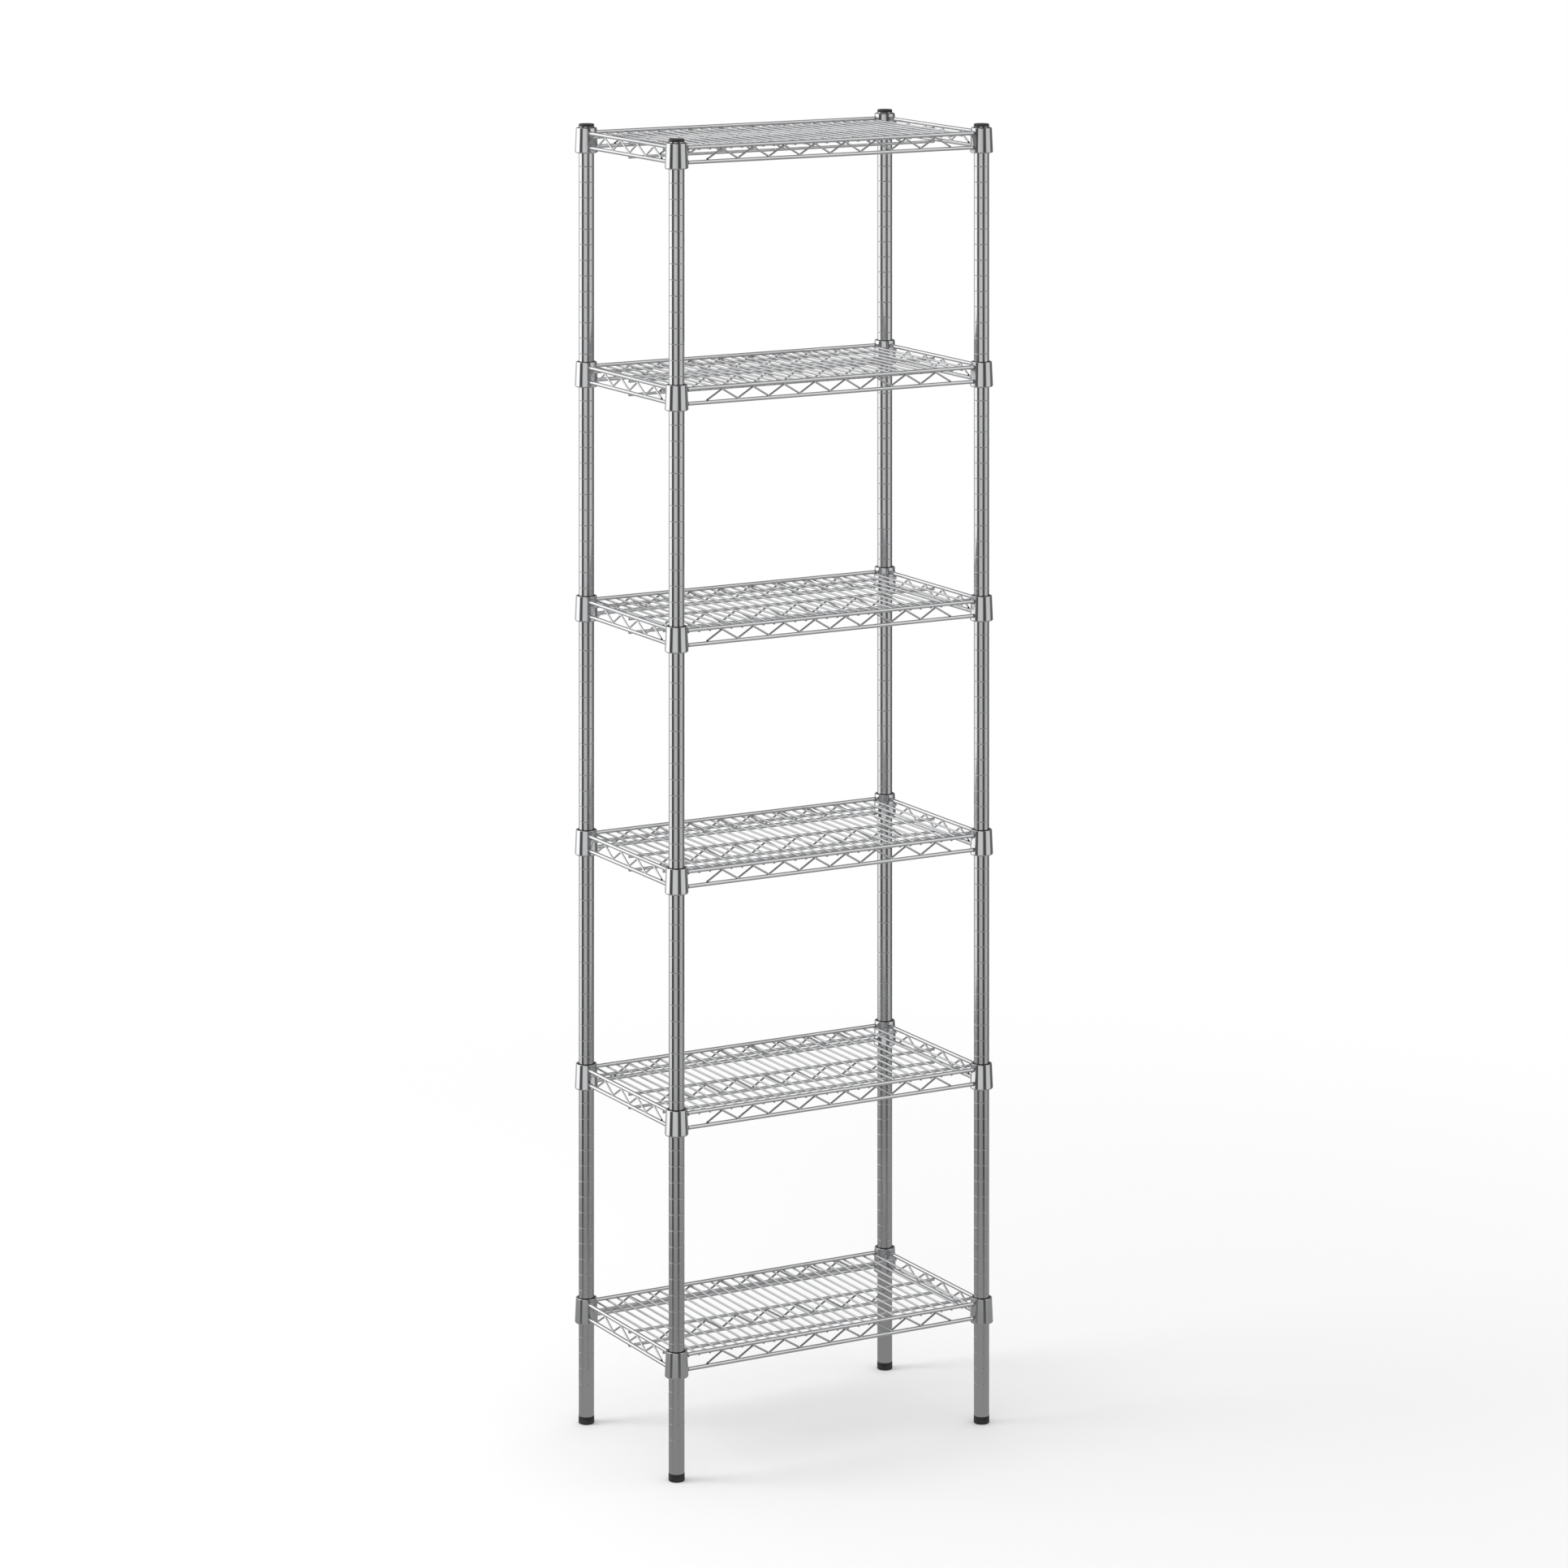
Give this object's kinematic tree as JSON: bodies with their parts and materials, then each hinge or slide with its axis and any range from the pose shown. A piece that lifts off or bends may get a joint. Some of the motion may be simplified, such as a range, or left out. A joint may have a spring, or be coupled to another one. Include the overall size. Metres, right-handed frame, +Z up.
{
  "type": "wire shelving rack",
  "caption": "Tall free-standing wire rack with open wire shelves on grooved round posts with black caps and screw feet, for plants and trays.",
  "frame": {"origin": "on the floor, in the middle of the four feet", "axes": "+X runs along the shelves to the right, +Y runs from the front to the back, +Z points up along the posts"},
  "size_m": [0.6, 0.35, 2.1167],
  "materials": {
    "post_chrome": "bright plated tube",
    "collar_chrome": "bright plated, slightly soft",
    "wire_chrome": "bright plated wire",
    "sleeve_plastic": "moulded",
    "cap_plastic": "moulded",
    "foot_plastic": "moulded",
    "stud_steel": "zinc plated"
  },
  "bodies": {
    "posts": {"post_front_left": "post_chrome", "post_front_right": "post_chrome", "post_back_left": "post_chrome", "post_back_right": "post_chrome", "post_cap_front_left": "cap_plastic", "post_cap_front_right": "cap_plastic", "post_cap_back_left": "cap_plastic", "post_cap_back_right": "cap_plastic", "foot_insert_front_left": "foot_plastic", "foot_insert_front_right": "foot_plastic", "foot_insert_back_left": "foot_plastic", "foot_insert_back_right": "foot_plastic", "shelf_1_sleeves": "sleeve_plastic", "shelf_2_sleeves": "sleeve_plastic", "shelf_3_sleeves": "sleeve_plastic", "shelf_4_sleeves": "sleeve_plastic", "shelf_5_sleeves": "sleeve_plastic", "shelf_6_sleeves": "sleeve_plastic"},
    "shelf_1": {"shelf_1_collars": "collar_chrome", "shelf_1_rails": "wire_chrome", "shelf_1_truss_wires": "wire_chrome", "shelf_1_mat_wires": "wire_chrome", "shelf_1_support_wires": "wire_chrome"},
    "shelf_2": {"shelf_2_collars": "collar_chrome", "shelf_2_rails": "wire_chrome", "shelf_2_truss_wires": "wire_chrome", "shelf_2_mat_wires": "wire_chrome", "shelf_2_support_wires": "wire_chrome"},
    "shelf_3": {"shelf_3_collars": "collar_chrome", "shelf_3_rails": "wire_chrome", "shelf_3_truss_wires": "wire_chrome", "shelf_3_mat_wires": "wire_chrome", "shelf_3_support_wires": "wire_chrome"},
    "shelf_4": {"shelf_4_collars": "collar_chrome", "shelf_4_rails": "wire_chrome", "shelf_4_truss_wires": "wire_chrome", "shelf_4_mat_wires": "wire_chrome", "shelf_4_support_wires": "wire_chrome"},
    "shelf_5": {"shelf_5_collars": "collar_chrome", "shelf_5_rails": "wire_chrome", "shelf_5_truss_wires": "wire_chrome", "shelf_5_mat_wires": "wire_chrome", "shelf_5_support_wires": "wire_chrome"},
    "shelf_6": {"shelf_6_collars": "collar_chrome", "shelf_6_rails": "wire_chrome", "shelf_6_truss_wires": "wire_chrome", "shelf_6_mat_wires": "wire_chrome", "shelf_6_support_wires": "wire_chrome"},
    "stud_front_left": {"foot_stud_front_left": "stud_steel"},
    "foot_front_left": {"foot_base_front_left": "foot_plastic"},
    "stud_front_right": {"foot_stud_front_right": "stud_steel"},
    "foot_front_right": {"foot_base_front_right": "foot_plastic"},
    "stud_back_left": {"foot_stud_back_left": "stud_steel"},
    "foot_back_left": {"foot_base_back_left": "foot_plastic"},
    "stud_back_right": {"foot_stud_back_right": "stud_steel"},
    "foot_back_right": {"foot_base_back_right": "foot_plastic"}
  },
  "joints": [
    {"name": "shelf_1_lift", "type": "slide", "parent": "posts", "child": "shelf_1", "axis": [0, 0, 1], "range_m": [0, 0.33]},
    {"name": "shelf_2_lift", "type": "slide", "parent": "posts", "child": "shelf_2", "axis": [0, 0, 1], "range_m": [0, 0.33]},
    {"name": "shelf_3_lift", "type": "slide", "parent": "posts", "child": "shelf_3", "axis": [0, 0, 1], "range_m": [0, 0.33]},
    {"name": "shelf_4_lift", "type": "slide", "parent": "posts", "child": "shelf_4", "axis": [0, 0, 1], "range_m": [0, 0.33]},
    {"name": "shelf_5_lift", "type": "slide", "parent": "posts", "child": "shelf_5", "axis": [0, 0, 1], "range_m": [0, 0.33]},
    {"name": "shelf_6_lift", "type": "slide", "parent": "posts", "child": "shelf_6", "axis": [0, 0, 1], "range_m": [0, 0.33]},
    {"name": "foot_travel_front_left", "type": "slide", "parent": "posts", "child": "stud_front_left", "axis": [0, 0, -1], "range_m": [0, 0.012]},
    {"name": "foot_turn_front_left", "type": "hinge", "parent": "stud_front_left", "child": "foot_front_left", "pos_m": [-0.2813, -0.15635, 0.004], "axis": [0, 0, -1], "range_deg": [0, 2890]},
    {"name": "foot_travel_front_right", "type": "slide", "parent": "posts", "child": "stud_front_right", "axis": [0, 0, -1], "range_m": [0, 0.012]},
    {"name": "foot_turn_front_right", "type": "hinge", "parent": "stud_front_right", "child": "foot_front_right", "pos_m": [0.2813, -0.15635, 0.004], "axis": [0, 0, -1], "range_deg": [0, 2890]},
    {"name": "foot_travel_back_left", "type": "slide", "parent": "posts", "child": "stud_back_left", "axis": [0, 0, -1], "range_m": [0, 0.012]},
    {"name": "foot_turn_back_left", "type": "hinge", "parent": "stud_back_left", "child": "foot_back_left", "pos_m": [-0.2813, 0.15635, 0.004], "axis": [0, 0, -1], "range_deg": [0, 2890]},
    {"name": "foot_travel_back_right", "type": "slide", "parent": "posts", "child": "stud_back_right", "axis": [0, 0, -1], "range_m": [0, 0.012]},
    {"name": "foot_turn_back_right", "type": "hinge", "parent": "stud_back_right", "child": "foot_back_right", "pos_m": [0.2813, 0.15635, 0.004], "axis": [0, 0, -1], "range_deg": [0, 2890]}
  ],
  "couplings": [
    {"joint": "foot_turn_front_left", "follows": "foot_travel_front_left", "rad_per_m": 4188.8},
    {"joint": "foot_turn_front_right", "follows": "foot_travel_front_right", "rad_per_m": 4188.8},
    {"joint": "foot_turn_back_left", "follows": "foot_travel_back_left", "rad_per_m": 4188.8},
    {"joint": "foot_turn_back_right", "follows": "foot_travel_back_right", "rad_per_m": 4188.8}
  ]
}
